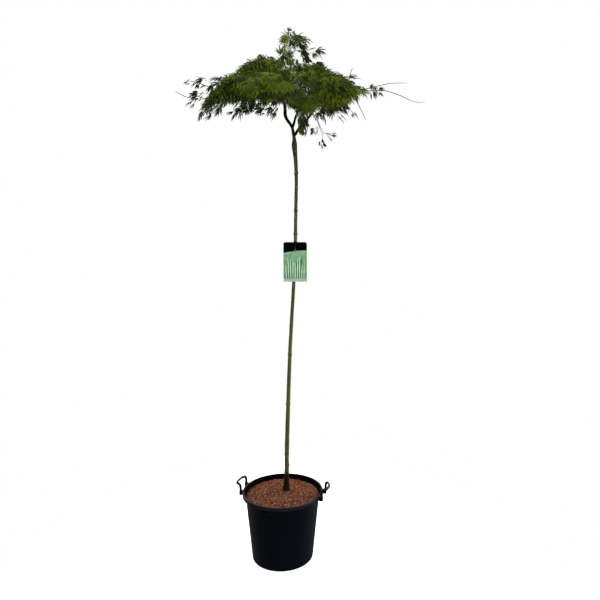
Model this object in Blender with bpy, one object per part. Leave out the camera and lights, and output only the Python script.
"""A weeping maple on a clear stem, about 2.6 m tall, in a handled nursery pot.

Metres, +Z up, +Y away from the viewer.  The origin is the middle of the pot's flat underside.
Every solid keeps CLEARANCE to the solid it touches.
"""

import math

import bmesh
import bpy
from mathutils import Matrix, Vector, noise

CM = 0.01
CLEARANCE = 0.0003

# ---------------------------------------------------------------- pot
POT_SEGMENTS = 36
POT_HEIGHT = 0.335
BASE_RADIUS = 0.151
BASE_ROUNDING = 0.008
SHOULDER_HEIGHT = 0.3155      # where the straight wall ends and the lip flares out
SHOULDER_RADIUS = 0.1832
WALL = 0.0030
FLOOR = 0.0030
LIP_RADIUS = 0.1990
LIP_WALL = 0.0026
SKIRT_RISE = 0.0005           # the skirt's edge stands this far above the shoulder
LIP_FLAT_INNER = 0.1915
DRAIN_HOLES = 8
DRAIN_RADIUS = 0.007
DRAIN_CIRCLE = 0.115

# ---------------------------------------------------------------- handles
STRAP_WIDTH = 0.010           # radially on a leg, level on the grip
STRAP_DEPTH = 0.0075
STRAP_STEPS = 2
HANDLE_FOOT = 0.3165          # level of the legs' feet, beside the lip's skirt
BRACKET_WIDTH = 0.0125        # along the lip
BRACKET_RISE = 0.0025         # how far the bracket stands over the lip
BRACKET_MARGIN = 0.0003       # how far the bracket laps past its leg
HANDLES = {
    # knots along each strap, from its front foot to its back foot: (degrees from +X, radius, z), in cm
    "handle_left": (
        (184.0, 20.9, HANDLE_FOOT / CM), (184.0, 20.9, 35.4), (183.6, 21.4, 36.7), (181.8, 22.6, 37.2),
        (177.0, 22.7, 37.2), (171.5, 22.4, 37.2), (165.5, 22.0, 37.2), (160.4, 21.4, 37.0),
        (158.7, 20.9, 36.0), (158.5, 20.9, HANDLE_FOOT / CM),
    ),
    "handle_right": (
        (-23.0, 21.3, HANDLE_FOOT / CM), (-23.0, 21.3, 35.4), (-22.6, 22.0, 36.7), (-20.8, 23.3, 37.1),
        (-15.0, 23.7, 37.2), (-8.0, 23.5, 37.3), (-3.0, 22.7, 37.4), (-0.6, 21.9, 37.1),
        (0.0, 21.5, 36.0), (0.0, 21.3, HANDLE_FOOT / CM),
    ),
}

# ---------------------------------------------------------------- root ball
SOIL_TOP = 0.328
SOIL_EDGE = 0.3135
SOIL_FLAT_RADIUS = 0.050      # level patch that the stem stands on
SOIL_RINGS = (0.078, 0.105, 0.130, 0.153)
SOIL_ROUGHNESS = 0.0022

# ---------------------------------------------------------------- stem and limbs
# Each knot is (x, y, z, diameter) in cm.
STEM_SIDES = 10
STEM = (
    (1.7, 1.5, SOIL_TOP / CM, 4.2), (1.7, 1.5, 34.4, 3.2), (1.8, 1.5, 36.6, 2.6),
    (1.9, 1.5, 42.0, 2.15), (2.1, 1.4, 55.0, 2.0), (2.8, 1.3, 76.0, 1.9),
    (3.9, 1.2, 105.0, 1.75), (5.6, 1.0, 133.0, 1.65), (6.6, 0.9, 153.0, 1.65),
    (6.9, 0.8, 170.0, 1.65), (7.3, 0.7, 187.0, 1.7), (7.0, 0.6, 196.5, 1.9),
    (6.6, 0.5, 201.0, 2.3), (6.4, 0.5, 204.3, 2.7), (6.4, 0.5, 206.8, 1.9),
    (6.0, 0.5, 209.4, 1.35), (5.4, 0.5, 212.6, 1.05),
)
BOUGH_SIDES = 8
BOUGHS = {
    "bough_left": (
        (5.4, 0.5, 212.64, 1.05), (4.3, 0.5, 214.5, 1.10), (2.9, 0.6, 216.2, 1.15),
        (2.1, 0.8, 218.0, 1.25), (1.9, 1.0, 220.0, 1.25), (1.8, 1.5, 223.0, 1.10),
        (0.8, 2.0, 227.5, 1.0),
    ),
    "bough_middle": (
        (5.5, 0.4, 212.3, 0.80), (6.4, -1.0, 214.5, 0.75), (7.5, -4.5, 216.8, 0.70),
        (9.5, -11.0, 218.5, 0.60),
    ),
    "bough_right": (
        (6.2, 0.5, 208.2, 1.20), (8.2, 0.8, 211.6, 1.10), (10.2, 1.8, 214.4, 1.0),
        (12.8, 2.6, 217.2, 0.95), (16.0, 3.0, 221.6, 0.85), (22.5, 1.0, 228.5, 0.80),
    ),
    "leader": (
        (5.6, 2.0, 239.0, 0.75), (4.8, 1.2, 242.0, 0.65), (3.8, 0.4, 246.5, 0.55), (4.6, 0.0, 251.0, 0.5),
    ),
}
WHIP_SIDES = 5
WHIPS = {
    "whip_top": ((4.2, 0.0, 253.0, 0.4), (3.9, 0.0, 256.5, 0.35), (3.3, 0.0, 259.4, 0.2)),
    "whip_left": (
        (-31.5, -2.0, 224.6, 0.5), (-37.5, -2.0, 226.0, 0.45), (-40.0, -1.6, 227.0, 0.4),
        (-44.2, -1.0, 226.4, 0.35), (-48.0, -0.4, 228.0, 0.3), (-51.4, 0.0, 230.0, 0.2),
    ),
    "whip_left_upper": (
        (-29.0, 0.0, 231.0, 0.5), (-36.0, 0.0, 232.2, 0.45), (-40.4, 0.0, 234.0, 0.35),
        (-44.1, 0.0, 234.5, 0.25),
    ),
    "whip_right_upper": (
        (37.5, 2.0, 230.4, 0.5), (43.8, 1.5, 232.0, 0.4), (48.5, 1.0, 232.9, 0.35),
        (53.0, 0.5, 233.7, 0.3), (61.6, 0.0, 233.7, 0.2),
    ),
    "whip_right": (
        (37.0, -1.0, 229.2, 0.55), (44.6, -1.0, 229.7, 0.5), (50.5, -0.6, 229.8, 0.45),
        (57.2, 0.0, 227.9, 0.4), (63.0, 0.0, 225.3, 0.3), (66.8, 0.0, 224.4, 0.25),
        (70.5, 0.0, 224.9, 0.2),
    ),
    "whip_right_low": (
        (34.5, 0.0, 229.0, 0.5), (36.5, 0.0, 225.0, 0.45), (38.7, 0.0, 220.8, 0.35), (41.4, 0.0, 215.5, 0.2),
    ),
    "whip_right_inner": ((29.5, -4.0, 223.4, 0.45), (33.4, -3.4, 219.9, 0.35), (37.6, -3.0, 215.9, 0.2)),
    "whip_under": (
        (14.0, -13.5, 217.0, 0.45), (17.6, -12.5, 213.4, 0.4), (19.2, -12.0, 209.4, 0.3),
        (20.4, -12.0, 206.4, 0.2),
    ),
}

# ---------------------------------------------------------------- foliage
# Centres and radii are in cm, leans in degrees.
FOLIAGE_NOISE = 0.16
FOLIAGE_FREQUENCY = 2.3
FOLIAGE = {
    # name: (centre, radii, lean to the right, lean to the back)
    "foliage_top": ((5.4, 0.0, 252.3), (5.8, 5.4, 4.8), 0, 0),
    "foliage_top_side": ((10.6, -0.8, 250.2), (4.2, 3.6, 2.8), 28, 0),
    "foliage_crest_left": ((-9.4, -3.0, 236.2), (12.2, 13.0, 7.8), -18, 0),
    "foliage_crest_right": ((13.5, 5.0, 238.2), (13.5, 13.0, 4.9), 6, 0),
    "foliage_core": ((-1.0, 2.0, 231.0), (8.0, 10.0, 7.4), 0, 0),
    "foliage_shoulder_left": ((-26.0, 1.0, 230.8), (12.5, 14.0, 6.6), -22, 0),
    "foliage_tip_left": ((-35.2, -5.0, 221.8), (8.8, 9.5, 4.6), -24, 0),
    "foliage_shoulder_right": ((26.5, 0.5, 231.0), (12.0, 14.0, 7.0), 14, 0),
    "foliage_tip_right": ((38.0, 2.0, 230.0), (8.4, 9.5, 3.4), 18, 0),
    "foliage_low_right": ((27.2, -7.0, 222.0), (8.8, 9.5, 4.5), 6, 0),
    "foliage_front_left": ((-6.0, -19.0, 225.0), (10.0, 10.0, 6.6), 0, -14),
    "foliage_front_shoulder": ((-21.5, -17.0, 227.0), (10.0, 9.5, 5.0), -14, -12),
    "foliage_front": ((-4.0, -30.5, 223.0), (10.5, 9.0, 4.2), 0, -18),
    "foliage_front_right": ((12.0, -17.0, 218.2), (7.4, 9.0, 4.3), 0, -8),
    "foliage_hanging": ((11.7, -17.5, 208.8), (2.7, 2.7, 6.6), 0, 0),
    "foliage_front_outer": ((25.5, -23.0, 223.6), (10.5, 10.0, 5.0), 12, -14),
    "foliage_back_left": ((-19.5, 22.5, 232.2), (13.0, 12.0, 4.9), -10, 10),
    "foliage_back": ((1.0, 27.0, 232.6), (12.0, 12.0, 3.6), 0, 8),
    "foliage_back_right": ((22.0, 24.0, 231.6), (12.5, 12.0, 5.0), 10, 10),
}
SMALL_MASS = 9.6              # a mass whose largest radius is under this gets fewer faces
SEAM = 0.0006                 # width of the cut between two neighbouring masses

# ---------------------------------------------------------------- hang tag
TAG_WIDTH = 0.115
TAG_HEIGHT = 0.194
TAG_THICKNESS = 0.0008
TAG_TOP = 1.571
TAG_CENTRE_X = 0.0664
TAG_CORNER = 0.010
TAG_STANDOFF = 0.0040         # from the stem's bark to the back of the tag
TAG_HOLE_Z = 1.532
TAG_HOLE_RADIUS = 0.0035
STRAP_RADIUS = 0.0011
STRAP_SIDES = 6
STRAP_WRAP = math.radians(130.0)        # how far round each side of the stem the strap lies

# ---------------------------------------------------------------- label strip
STRIP_START = math.radians(-27.0)      # measured from the front, positive to the right
STRIP_END = math.radians(19.0)
STRIP_STATIONS = 12
STRIP_THICKNESS = 0.0030
STRIP_BAND = (0.2960, 0.3000)          # lowest and highest z of the thin band
STRIP_TAB = (0.2900, 0.3100)           # the same for the tab
STRIP_TAB_START = math.radians(-18.5)
STRIP_TAB_END = math.radians(-6.5)


# ================================================================ helpers
def clear_scene():
    """Remove the startup objects."""
    for thing in list(bpy.data.objects):
        bpy.data.objects.remove(thing, do_unlink=True)


def make_material(name, colour, roughness):
    """A Principled material with one colour."""
    material = bpy.data.materials.new(name)
    material.use_nodes = True
    shader = material.node_tree.nodes["Principled BSDF"]
    shader.inputs["Base Color"].default_value = (*colour, 1.0)
    shader.inputs["Roughness"].default_value = roughness
    shader.inputs["Metallic"].default_value = 0.0
    return material


def add_solid(name, shape, material, smooth_angle=40.0):
    """Turn a bmesh into a named object and free the bmesh."""
    bmesh.ops.recalc_face_normals(shape, faces=shape.faces)
    mesh = bpy.data.meshes.new(name)
    shape.to_mesh(mesh)
    shape.free()
    mesh.materials.append(material)
    mesh.shade_smooth()
    mesh.set_sharp_from_angle(angle=math.radians(smooth_angle))
    solid = bpy.data.objects.new(name, mesh)
    bpy.context.scene.collection.objects.link(solid)
    return solid


def add_guide(name, shape):
    """A cutter: kept in the file, left out of the part."""
    guide = add_solid(name, shape, MATERIALS["guide"])
    guide.hide_render = True
    guide.display_type = "WIRE"
    return guide


def combine(solid, guide, operation):
    """Add an exact Boolean to a solid."""
    boolean = solid.modifiers.new(operation.lower() + "_" + guide.name, "BOOLEAN")
    boolean.operation = operation
    boolean.object = guide
    boolean.solver = "EXACT"


def turned(outline, segments):
    """Spin a closed outline of (radius, z) points about Z; points on the axis are merged."""
    shape = bmesh.new()
    corners = [shape.verts.new((radius, 0.0, z)) for radius, z in outline]
    for start, end in zip(corners, corners[1:]):
        shape.edges.new((start, end))
    bmesh.ops.spin(
        shape, geom=shape.verts[:] + shape.edges[:], cent=(0, 0, 0), axis=(0, 0, 1),
        angle=2 * math.pi, steps=segments, use_duplicate=False,
    )
    bmesh.ops.remove_doubles(shape, verts=shape.verts, dist=1e-6)
    return shape


def loft(rings, closed=False):
    """Skin rings of points with quads; an open loft gets flat end caps."""
    shape = bmesh.new()
    rows = [[shape.verts.new(point) for point in ring] for ring in rings]
    count = len(rows[0])
    pairs = list(zip(rows, rows[1:]))
    if closed:
        pairs.append((rows[-1], rows[0]))
    for lower, upper in pairs:
        for i in range(count):
            j = (i + 1) % count
            shape.faces.new((lower[i], lower[j], upper[j], upper[i]))
    if not closed:
        shape.faces.new(rows[0])
        shape.faces.new(rows[-1])
    return shape


def smooth_values(knots, steps):
    """Catmull-Rom through knots of any width, with the given number of steps between two knots."""
    padded = [knots[0]] + list(knots) + [knots[-1]]
    values = []
    for a, b, c, d in zip(padded, padded[1:], padded[2:], padded[3:]):
        for step in range(steps):
            t = step / steps
            values.append(tuple(
                0.5 * (2 * q + (r - p) * t + (2 * p - 5 * q + 4 * r - s) * t * t
                       + (3 * q - p - 3 * r + s) * t ** 3)
                for p, q, r, s in zip(a, b, c, d)
            ))
    values.append(tuple(knots[-1]))
    return values


def limb(knots, sides, steps, grow=0.0, level_foot=False):
    """A round tapering limb through (x, y, z, diameter) knots in cm, thickened by grow metres."""
    stations = smooth_values(knots, steps)
    points = [Vector(station[:3]) * CM for station in stations]
    radii = [station[3] * CM / 2 + grow for station in stations]
    rings = []
    side = Vector((1, 0, 0))
    for i, point in enumerate(points):
        ahead = points[min(i + 1, len(points) - 1)] - points[max(i - 1, 0)]
        ahead.normalize()
        if level_foot and i == 0:
            ahead = Vector((0, 0, 1))
        side = (side - ahead * side.dot(ahead)).normalized()
        up = ahead.cross(side)
        rings.append([
            point + radii[i] * (math.cos(turn) * side + math.sin(turn) * up)
            for turn in (2 * math.pi * k / sides for k in range(sides))
        ])
    return loft(rings)


def polar(radius, angle, z):
    """A point at a radius and an angle from +X."""
    return Vector((radius * math.cos(angle), radius * math.sin(angle), z))


# ================================================================ pot
def wall_radius(z):
    """Outer radius of the straight wall at a height."""
    share = (z - BASE_ROUNDING) / (SHOULDER_HEIGHT - BASE_ROUNDING)
    return BASE_RADIUS + share * (SHOULDER_RADIUS - BASE_RADIUS)


def bore_radius(z):
    """Inner radius of the straight wall at a height."""
    return wall_radius(z) - WALL


def pot_outline():
    """Half section of the pot, from the underside's middle round to the inside's middle."""
    foot_arc = [
        (BASE_RADIUS - BASE_ROUNDING + BASE_ROUNDING * math.sin(turn),
         BASE_ROUNDING - BASE_ROUNDING * math.cos(turn))
        for turn in (math.radians(22.5 * k) for k in range(5))
    ]
    skirt_inner = LIP_RADIUS - LIP_WALL
    underside = POT_HEIGHT - LIP_WALL
    return [(0.0, 0.0)] + foot_arc + [
        (SHOULDER_RADIUS, SHOULDER_HEIGHT),
        (LIP_FLAT_INNER + 0.0010, underside),
        (skirt_inner, underside),
        (skirt_inner, SHOULDER_HEIGHT + SKIRT_RISE),
        (LIP_RADIUS, SHOULDER_HEIGHT + SKIRT_RISE),
        (LIP_RADIUS, POT_HEIGHT - 0.0015),
        (LIP_RADIUS - 0.0015, POT_HEIGHT),
        (LIP_FLAT_INNER, POT_HEIGHT),
        (LIP_FLAT_INNER - 0.0020, POT_HEIGHT - 0.0012),
        (bore_radius(SHOULDER_HEIGHT), SHOULDER_HEIGHT),
        (bore_radius(FLOOR), FLOOR),
        (0.0, FLOOR),
    ]


def drain_cutter():
    """Eight round pegs on a circle, through the pot's floor."""
    shape = bmesh.new()
    for k in range(DRAIN_HOLES):
        place = polar(DRAIN_CIRCLE, 2 * math.pi * (k + 0.5) / DRAIN_HOLES, FLOOR / 2)
        bmesh.ops.create_cone(
            shape, cap_ends=True, segments=8, radius1=DRAIN_RADIUS, radius2=DRAIN_RADIUS,
            depth=FLOOR * 4, matrix=Matrix.Translation(place),
        )
    return shape


def make_pot():
    """The moulded pot with its rolled lip and drain holes."""
    pot = add_solid("pot", turned(pot_outline(), POT_SEGMENTS), MATERIALS["pot_plastic"], 30.0)
    combine(pot, add_guide("drain_guide", drain_cutter()), "DIFFERENCE")
    return pot


def bracket_shape(angle, leg_radius):
    """The block that joins the foot of one leg to the outside of the lip."""
    face = LIP_RADIUS + CLEARANCE
    outer = leg_radius + STRAP_WIDTH / 2 + BRACKET_MARGIN
    bottom = HANDLE_FOOT - BRACKET_MARGIN
    top = POT_HEIGHT + BRACKET_RISE
    profile = ((face, bottom), (outer, bottom), (outer, top), (face, top))
    along = polar(1.0, angle + math.pi / 2, 0.0)
    return loft([
        [polar(radius, angle, z) + along * side for radius, z in profile]
        for side in (-BRACKET_WIDTH / 2, BRACKET_WIDTH / 2)
    ])


def make_handle(name, knots):
    """A strap handle: two legs bracketed to the lip, and a grip that bows outwards between them."""
    route = []
    for degrees, radius, z in smooth_values(knots, STRAP_STEPS):
        route.append(polar(radius * CM, math.radians(degrees), z * CM))
    rings = []
    across = route[0].xy.to_3d().normalized()
    for i, point in enumerate(route):
        ahead = (route[min(i + 1, len(route) - 1)] - route[max(i - 1, 0)]).normalized()
        across = (across - ahead * across.dot(ahead)).normalized()
        up = ahead.cross(across)
        rings.append([
            point + across * (STRAP_WIDTH / 2 * a) + up * (STRAP_DEPTH / 2 * b)
            for a, b in ((-1, -1), (1, -1), (1, 1), (-1, 1))
        ])
    handle = add_solid(name, loft(rings), MATERIALS["pot_plastic"], 25.0)
    for side, (degrees, radius, _) in (("front", knots[0]), ("back", knots[-1])):
        bracket = bracket_shape(math.radians(degrees), radius * CM)
        combine(handle, add_guide(name + "_bracket_" + side, bracket), "UNION")


def make_label_strip():
    """The raised band under the lip, with the tab that a price label clips to."""
    rings = []
    for k in range(STRIP_STATIONS + 1):
        angle = STRIP_START + (STRIP_END - STRIP_START) * k / STRIP_STATIONS
        low, high = STRIP_TAB if STRIP_TAB_START < angle < STRIP_TAB_END else STRIP_BAND
        from_x = angle - math.pi / 2
        back_low, back_high = wall_radius(low) + 2 * CLEARANCE, wall_radius(high) + 2 * CLEARANCE
        rings.append([
            polar(back_low, from_x, low), polar(back_low + STRIP_THICKNESS, from_x, low),
            polar(back_high + STRIP_THICKNESS, from_x, high), polar(back_high, from_x, high),
        ])
    return add_solid("label_strip", loft(rings), MATERIALS["pot_plastic"], 25.0)


def make_root_ball():
    """Root ball and bark mulch: fills the pot, mounded round a level patch under the stem."""
    side_gap = CLEARANCE * 1.5
    floor = FLOOR + CLEARANCE
    edge_radius = bore_radius(SOIL_EDGE) - side_gap
    outline = [(0.0, floor), (bore_radius(floor) - side_gap, floor), (edge_radius, SOIL_EDGE)]
    for radius in reversed(SOIL_RINGS):
        fall = (radius / edge_radius) ** 2
        outline.append((radius, SOIL_TOP + (SOIL_EDGE - SOIL_TOP) * fall))
    outline += [(SOIL_FLAT_RADIUS, SOIL_TOP), (0.0, SOIL_TOP)]
    shape = turned(outline, POT_SEGMENTS)
    for vertex in shape.verts:
        out = vertex.co.xy.length
        if SOIL_FLAT_RADIUS * 1.1 < out < edge_radius * 0.98 and vertex.co.z > SOIL_EDGE:
            vertex.co.z += SOIL_ROUGHNESS * noise.noise(vertex.co * 40.0)
    return add_solid("root_ball", shape, MATERIALS["bark_mulch"], 60.0)


# ================================================================ foliage
def foliage_mass(centre, radii, lean_right, lean_back, seed):
    """An uneven pad: a ball with a flattened underside, roughened and leant over."""
    shape = bmesh.new()
    fine = max(radii) >= SMALL_MASS
    bmesh.ops.create_icosphere(shape, subdivisions=3 if fine else 2, radius=1.0)
    lean = (Matrix.Rotation(math.radians(lean_right), 3, "Y")
            @ Matrix.Rotation(math.radians(-lean_back), 3, "X"))
    drift = Vector((seed * 7.3, seed * 3.1, seed * 5.7))
    for vertex in shape.verts:
        way = vertex.co.copy()
        swell = 1.0 + FOLIAGE_NOISE * noise.noise(way * FOLIAGE_FREQUENCY + drift)
        point = Vector((way.x * radii[0], way.y * radii[1], way.z * radii[2])) * swell
        if point.z < 0 and fine:
            point.z *= 0.85
        vertex.co = (lean @ point + Vector(centre)) * CM
    return shape


def reach(radii, way):
    """Distance from an ellipsoid's middle to its skin along a unit direction."""
    return 1.0 / math.sqrt(sum((w / r) ** 2 for w, r in zip(way, radii)))


def part_from_neighbours(name, shape):
    """Cut a mass flat wherever a neighbouring mass would run into it."""
    centre, radii = Vector(FOLIAGE[name][0]), FOLIAGE[name][1]
    for other, (other_centre, other_radii, _, _) in FOLIAGE.items():
        if other == name:
            continue
        gap = Vector(other_centre) - centre
        way = gap.normalized()
        mine, theirs = reach(radii, way), reach(other_radii, way)
        if gap.length > 1.35 * (mine + theirs):
            continue
        middle = (mine + gap.length - theirs) / 2
        place = (centre + way * middle) * CM - way * SEAM / 2
        cut = bmesh.ops.bisect_plane(
            shape, geom=shape.verts[:] + shape.edges[:] + shape.faces[:],
            plane_co=place, plane_no=way, clear_outer=True,
        )
        rim = [item for item in cut["geom_cut"] if isinstance(item, bmesh.types.BMEdge)]
        if rim:
            bmesh.ops.holes_fill(shape, edges=rim, sides=0)
    return shape


def make_foliage():
    """Every mass of leaves as a closed solid, and a slightly grown guide of each to trim limbs."""
    guides = []
    for seed, (name, (centre, radii, lean_right, lean_back)) in enumerate(FOLIAGE.items(), start=1):
        shape = part_from_neighbours(name, foliage_mass(centre, radii, lean_right, lean_back, seed))
        bmesh.ops.triangulate(shape, faces=shape.faces)
        bmesh.ops.recalc_face_normals(shape, faces=shape.faces)
        grown = shape.copy()
        grown.normal_update()
        places = [vertex.co + vertex.normal * CLEARANCE * 1.4 for vertex in grown.verts]
        for vertex, place in zip(grown.verts, places):
            vertex.co = place
        add_solid(name, shape, MATERIALS["foliage"], 60.0)
        guides.append(add_guide(name + "_guide", grown))
    return guides


# ================================================================ stem, boughs and whips
def boxes_meet(first, second):
    """Whether the boxes of two unmoved mesh objects overlap."""
    for axis in range(3):
        a = [vertex.co[axis] for vertex in first.data.vertices]
        b = [vertex.co[axis] for vertex in second.data.vertices]
        if min(a) > max(b) or min(b) > max(a):
            return False
    return True


def make_limbs(foliage_guides):
    """The stem, then each bough and whip, trimmed by whatever it grows from or grows into."""
    stem_knots = list(STEM)
    foot = list(stem_knots[0])
    foot[2] = (SOIL_TOP + CLEARANCE) / CM
    stem_knots[0] = tuple(foot)
    add_solid("stem", limb(stem_knots, STEM_SIDES, 2, level_foot=True), MATERIALS["green_bark"], 50.0)
    stem_guide = add_guide("stem_guide", limb(stem_knots, STEM_SIDES, 2, grow=CLEARANCE * 1.5))
    left_guide = add_guide(
        "bough_left_guide", limb(BOUGHS["bough_left"], BOUGH_SIDES, 2, grow=CLEARANCE * 1.5))
    grown_from = {
        "bough_left": [stem_guide], "bough_middle": [stem_guide, left_guide], "bough_right": [stem_guide],
    }
    for name, knots in BOUGHS.items():
        bough = add_solid(name, limb(knots, BOUGH_SIDES, 2), MATERIALS["dark_bark"], 50.0)
        for guide in grown_from.get(name, []):
            combine(bough, guide, "DIFFERENCE")
        trim_into(bough, foliage_guides)
    for name, knots in WHIPS.items():
        trim_into(add_solid(name, limb(knots, WHIP_SIDES, 2), MATERIALS["dark_bark"], 50.0), foliage_guides)


def trim_into(solid, guides):
    """Take away the part of a limb that lies inside a mass."""
    for guide in guides:
        if boxes_meet(solid, guide):
            combine(solid, guide, "DIFFERENCE")


# ================================================================ tag
def stem_at(z_cm):
    """Stem centre (x, y) and radius in metres at a height in cm."""
    for lower, upper in zip(STEM, STEM[1:]):
        if lower[2] <= z_cm <= upper[2]:
            share = (z_cm - lower[2]) / (upper[2] - lower[2])
            x, y, diameter = (lower[k] + share * (upper[k] - lower[k]) for k in (0, 1, 3))
            return x * CM, y * CM, diameter * CM / 2
    raise ValueError("height outside the stem")


def tag_plane():
    """The y of the tag's middle plane, in front of the bark."""
    _, stem_y, radius = stem_at(TAG_HOLE_Z / CM)
    return stem_y - radius - TAG_STANDOFF - TAG_THICKNESS / 2


def make_tag():
    """The hanging plant tag: a thin card with round corners and a hole for its strap."""
    plane = tag_plane()
    half_width, half_height = TAG_WIDTH / 2, TAG_HEIGHT / 2
    outline = []
    for quarter, (sign_x, sign_z) in enumerate(((1, 1), (-1, 1), (-1, -1), (1, -1))):
        for k in range(4):
            turn = math.radians(90 * quarter + 30 * k)
            outline.append((
                TAG_CENTRE_X + sign_x * (half_width - TAG_CORNER) + TAG_CORNER * math.cos(turn),
                TAG_TOP - half_height + sign_z * (half_height - TAG_CORNER) + TAG_CORNER * math.sin(turn),
            ))
    faces_at = (plane - TAG_THICKNESS / 2, plane + TAG_THICKNESS / 2)
    card = loft([[Vector((x, y, z)) for x, z in outline] for y in faces_at])
    tag = add_solid("hang_tag", card, MATERIALS["tag_card"], 30.0)
    shape = bmesh.new()
    bmesh.ops.create_cone(
        shape, cap_ends=True, segments=12, radius1=TAG_HOLE_RADIUS, radius2=TAG_HOLE_RADIUS,
        depth=TAG_THICKNESS * 6,
        matrix=Matrix.Translation((TAG_CENTRE_X, plane, TAG_HOLE_Z)) @ Matrix.Rotation(math.pi / 2, 4, "X"),
    )
    combine(tag, add_guide("tag_hole_guide", shape), "DIFFERENCE")


def strap_route():
    """Closed route: through the hole, round the stem's back, over the tag's top and down its face."""
    stem_x, stem_y, stem_radius = stem_at((TAG_HOLE_Z + TAG_TOP) / 2 / CM)
    plane = tag_plane()
    hug = stem_radius + STRAP_RADIUS + CLEARANCE * 1.5
    hole_z = TAG_HOLE_Z + TAG_HOLE_RADIUS - STRAP_RADIUS - CLEARANCE * 1.5
    face_y = plane - TAG_THICKNESS / 2 - STRAP_RADIUS - CLEARANCE * 1.5
    over_z = TAG_TOP + STRAP_RADIUS + CLEARANCE * 2
    arc_steps = 10
    around = []
    for k in range(arc_steps + 1):
        share = k / arc_steps
        turn = STRAP_WRAP * (2 * share - 1)
        around.append((
            stem_x + hug * math.sin(turn), stem_y + hug * math.cos(turn), hole_z + (over_z - hole_z) * share))
    over_the_top = [
        (TAG_CENTRE_X, plane, over_z + 0.0003), (TAG_CENTRE_X, face_y, over_z - 0.0022),
        (TAG_CENTRE_X, face_y, (over_z + hole_z) / 2), (TAG_CENTRE_X, face_y, hole_z + 0.0024),
    ]
    return [(TAG_CENTRE_X, plane, hole_z)] + around + over_the_top


def make_strap():
    """The tag's thin strap as one closed loop."""
    knots = strap_route()
    count = len(knots)
    steps = 2
    points = []
    for i in range(count):
        a, b, c, d = (Vector(knots[(i + k) % count]) for k in (-1, 0, 1, 2))
        for step in range(steps):
            t = step / steps
            points.append(0.5 * (2 * b + (c - a) * t + (2 * a - 5 * b + 4 * c - d) * t * t
                                 + (3 * b - a - 3 * c + d) * t ** 3))
    total = len(points)
    tangents = [(points[(i + 1) % total] - points[i - 1]).normalized() for i in range(total)]
    side = tangents[0].orthogonal().normalized()
    sides = []
    for ahead in tangents:
        side = (side - ahead * side.dot(ahead)).normalized()
        sides.append(side)
    closing = (side - tangents[0] * side.dot(tangents[0])).normalized()
    twist = closing.angle(sides[0]) * (1 if closing.cross(sides[0]).dot(tangents[0]) > 0 else -1)
    rings = []
    for i, (point, ahead, across) in enumerate(zip(points, tangents, sides)):
        across = Matrix.Rotation(twist * i / total, 3, ahead) @ across
        up = ahead.cross(across)
        rings.append([
            point + STRAP_RADIUS * (math.cos(turn) * across + math.sin(turn) * up)
            for turn in (2 * math.pi * k / STRAP_SIDES for k in range(STRAP_SIDES))
        ])
    return add_solid("tag_strap", loft(rings, closed=True), MATERIALS["tag_strap"], 60.0)


# ================================================================ build
clear_scene()
MATERIALS = {
    "pot_plastic": make_material("pot_plastic", (0.012, 0.014, 0.018), 0.45),
    "bark_mulch": make_material("bark_mulch", (0.20, 0.085, 0.045), 0.9),
    "green_bark": make_material("green_bark", (0.075, 0.090, 0.020), 0.55),
    "dark_bark": make_material("dark_bark", (0.018, 0.017, 0.010), 0.6),
    "foliage": make_material("foliage", (0.060, 0.105, 0.015), 0.6),
    "tag_card": make_material("tag_card", (0.16, 0.42, 0.20), 0.35),
    "tag_strap": make_material("tag_strap", (0.22, 0.22, 0.22), 0.5),
    "guide": make_material("guide", (0.5, 0.5, 0.5), 0.5),
}
make_pot()
for handle_name, handle_knots in HANDLES.items():
    make_handle(handle_name, handle_knots)
make_label_strip()
make_root_ball()
make_limbs(make_foliage())
make_tag()
make_strap()
